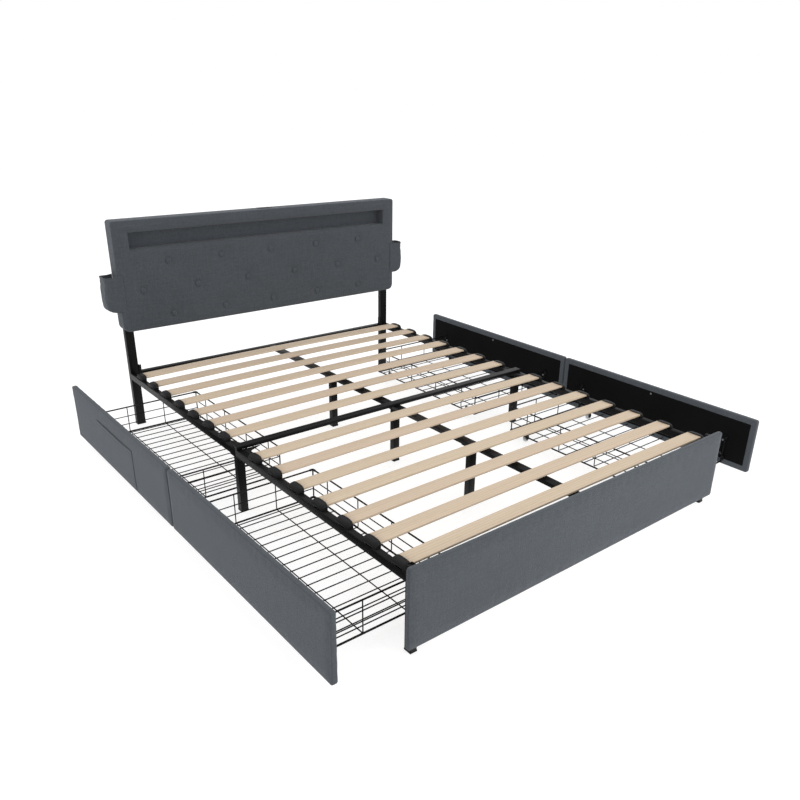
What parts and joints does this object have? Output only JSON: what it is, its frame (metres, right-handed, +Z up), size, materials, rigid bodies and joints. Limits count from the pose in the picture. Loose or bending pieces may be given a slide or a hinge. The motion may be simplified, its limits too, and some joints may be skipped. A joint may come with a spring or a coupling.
{
  "type": "platform bed with storage drawers",
  "caption": "Upholstered platform bed with a tufted headboard, shelf niche and side pouches, a slatted steel frame and wheeled wire storage drawers that pull out at both sides.",
  "frame": {"origin": "on the floor under the middle centre leg, in the middle of the steel frame", "axes": "+X to the right seen from the foot end, +Y towards the headboard, +Z up"},
  "size_m": [2.115, 2.128, 0.9475],
  "materials": {
    "slate_fabric": "woven slate-grey upholstery, matt",
    "frame_steel": "black powder coat, fine texture, satin",
    "wire_steel": "black coated wire, satin",
    "black_plastic": "moulded black plastic, fine grain",
    "caster_plastic": "milky grey moulded plastic",
    "slat_wood": "planed poplar, unvarnished",
    "plywood": "plywood",
    "black_board": "black-faced board, matt",
    "dust_cloth": "black non-woven cloth over a thin board",
    "zinc_steel": "dark zinc plate"
  },
  "bodies": {
    "frame": {"headboard_cover": "slate_fabric", "headboard_frame": "plywood", "headboard_back": "dust_cloth", "headboard_niche": "slate_fabric", "headboard_buttons": "slate_fabric", "headboard_pouch_left": "slate_fabric", "headboard_pouch_right": "slate_fabric", "headboard_bolts": "zinc_steel", "charging_port": "black_plastic", "post_left": "frame_steel", "post_right": "frame_steel", "head_rail": "frame_steel", "foot_rail": "frame_steel", "centre_rails": "frame_steel", "crossbar": "frame_steel", "side_rail_head_left": "frame_steel", "side_rail_foot_left": "frame_steel", "side_rail_head_right": "frame_steel", "side_rail_foot_right": "frame_steel", "foot_leg_left": "frame_steel", "foot_leg_right": "frame_steel", "mid_leg_left": "frame_steel", "mid_leg_right": "frame_steel", "centre_leg_head": "frame_steel", "centre_leg_middle": "frame_steel", "centre_leg_foot": "frame_steel", "corner_brackets": "frame_steel", "frame_bolts": "zinc_steel", "leg_glides": "black_plastic", "slat_holders_left": "black_plastic", "slat_holders_right": "black_plastic", "head_slats": "slat_wood", "foot_slats": "slat_wood", "footboard_panel": "black_board", "footboard_cover": "slate_fabric"},
    "drawer_head_left": {"drawer_head_left_front": "slate_fabric", "drawer_head_left_board": "black_board", "drawer_head_left_basket": "wire_steel", "drawer_head_left_screws": "zinc_steel", "drawer_head_left_pocket": "slate_fabric"},
    "drawer_head_left_front_wheels": {"drawer_head_left_front_wheels": "caster_plastic"},
    "drawer_head_left_rear_wheels": {"drawer_head_left_rear_wheels": "caster_plastic"},
    "drawer_head_right": {"drawer_head_right_front": "slate_fabric", "drawer_head_right_board": "black_board", "drawer_head_right_basket": "wire_steel", "drawer_head_right_screws": "zinc_steel"},
    "drawer_head_right_front_wheels": {"drawer_head_right_front_wheels": "caster_plastic"},
    "drawer_head_right_rear_wheels": {"drawer_head_right_rear_wheels": "caster_plastic"},
    "drawer_foot_left": {"drawer_foot_left_front": "slate_fabric", "drawer_foot_left_board": "black_board", "drawer_foot_left_basket": "wire_steel", "drawer_foot_left_screws": "zinc_steel"},
    "drawer_foot_left_front_wheels": {"drawer_foot_left_front_wheels": "caster_plastic"},
    "drawer_foot_left_rear_wheels": {"drawer_foot_left_rear_wheels": "caster_plastic"},
    "drawer_foot_right": {"drawer_foot_right_front": "slate_fabric", "drawer_foot_right_board": "black_board", "drawer_foot_right_basket": "wire_steel", "drawer_foot_right_screws": "zinc_steel"},
    "drawer_foot_right_front_wheels": {"drawer_foot_right_front_wheels": "caster_plastic"},
    "drawer_foot_right_rear_wheels": {"drawer_foot_right_rear_wheels": "caster_plastic"}
  },
  "joints": [
    {"name": "drawer_head_left_slide", "type": "slide", "parent": "frame", "child": "drawer_head_left", "axis": [-1, 0, 0], "range_m": [-0.241, 0.239]},
    {"name": "drawer_head_left_front_roll", "type": "hinge", "parent": "drawer_head_left", "child": "drawer_head_left_front_wheels", "pos_m": [-0.971, 0.506, 0.017], "axis": [0, 1, 0], "continuous": true},
    {"name": "drawer_head_left_rear_roll", "type": "hinge", "parent": "drawer_head_left", "child": "drawer_head_left_rear_wheels", "pos_m": [-0.522, 0.506, 0.017], "axis": [0, 1, 0], "continuous": true},
    {"name": "drawer_head_right_slide", "type": "slide", "parent": "frame", "child": "drawer_head_right", "axis": [1, 0, 0], "range_m": [-0.327, 0.153]},
    {"name": "drawer_head_right_front_roll", "type": "hinge", "parent": "drawer_head_right", "child": "drawer_head_right_front_wheels", "pos_m": [1.057, 0.506, 0.017], "axis": [0, 1, 0], "continuous": true},
    {"name": "drawer_head_right_rear_roll", "type": "hinge", "parent": "drawer_head_right", "child": "drawer_head_right_rear_wheels", "pos_m": [0.608, 0.506, 0.017], "axis": [0, 1, 0], "continuous": true},
    {"name": "drawer_foot_left_slide", "type": "slide", "parent": "frame", "child": "drawer_foot_left", "axis": [-1, 0, 0], "range_m": [-0.241, 0.239]},
    {"name": "drawer_foot_left_front_roll", "type": "hinge", "parent": "drawer_foot_left", "child": "drawer_foot_left_front_wheels", "pos_m": [-0.971, -0.524, 0.017], "axis": [0, 1, 0], "continuous": true},
    {"name": "drawer_foot_left_rear_roll", "type": "hinge", "parent": "drawer_foot_left", "child": "drawer_foot_left_rear_wheels", "pos_m": [-0.522, -0.524, 0.017], "axis": [0, 1, 0], "continuous": true},
    {"name": "drawer_foot_right_slide", "type": "slide", "parent": "frame", "child": "drawer_foot_right", "axis": [1, 0, 0], "range_m": [-0.327, 0.153]},
    {"name": "drawer_foot_right_front_roll", "type": "hinge", "parent": "drawer_foot_right", "child": "drawer_foot_right_front_wheels", "pos_m": [1.057, -0.524, 0.017], "axis": [0, 1, 0], "continuous": true},
    {"name": "drawer_foot_right_rear_roll", "type": "hinge", "parent": "drawer_foot_right", "child": "drawer_foot_right_rear_wheels", "pos_m": [0.608, -0.524, 0.017], "axis": [0, 1, 0], "continuous": true}
  ],
  "couplings": [
    {"joint": "drawer_head_left_front_roll", "follows": "drawer_head_left_slide", "rad_per_m": -58.824},
    {"joint": "drawer_head_left_rear_roll", "follows": "drawer_head_left_slide", "rad_per_m": -58.824},
    {"joint": "drawer_head_right_front_roll", "follows": "drawer_head_right_slide", "rad_per_m": 58.824},
    {"joint": "drawer_head_right_rear_roll", "follows": "drawer_head_right_slide", "rad_per_m": 58.824},
    {"joint": "drawer_foot_left_front_roll", "follows": "drawer_foot_left_slide", "rad_per_m": -58.824},
    {"joint": "drawer_foot_left_rear_roll", "follows": "drawer_foot_left_slide", "rad_per_m": -58.824},
    {"joint": "drawer_foot_right_front_roll", "follows": "drawer_foot_right_slide", "rad_per_m": 58.824},
    {"joint": "drawer_foot_right_rear_roll", "follows": "drawer_foot_right_slide", "rad_per_m": 58.824}
  ]
}
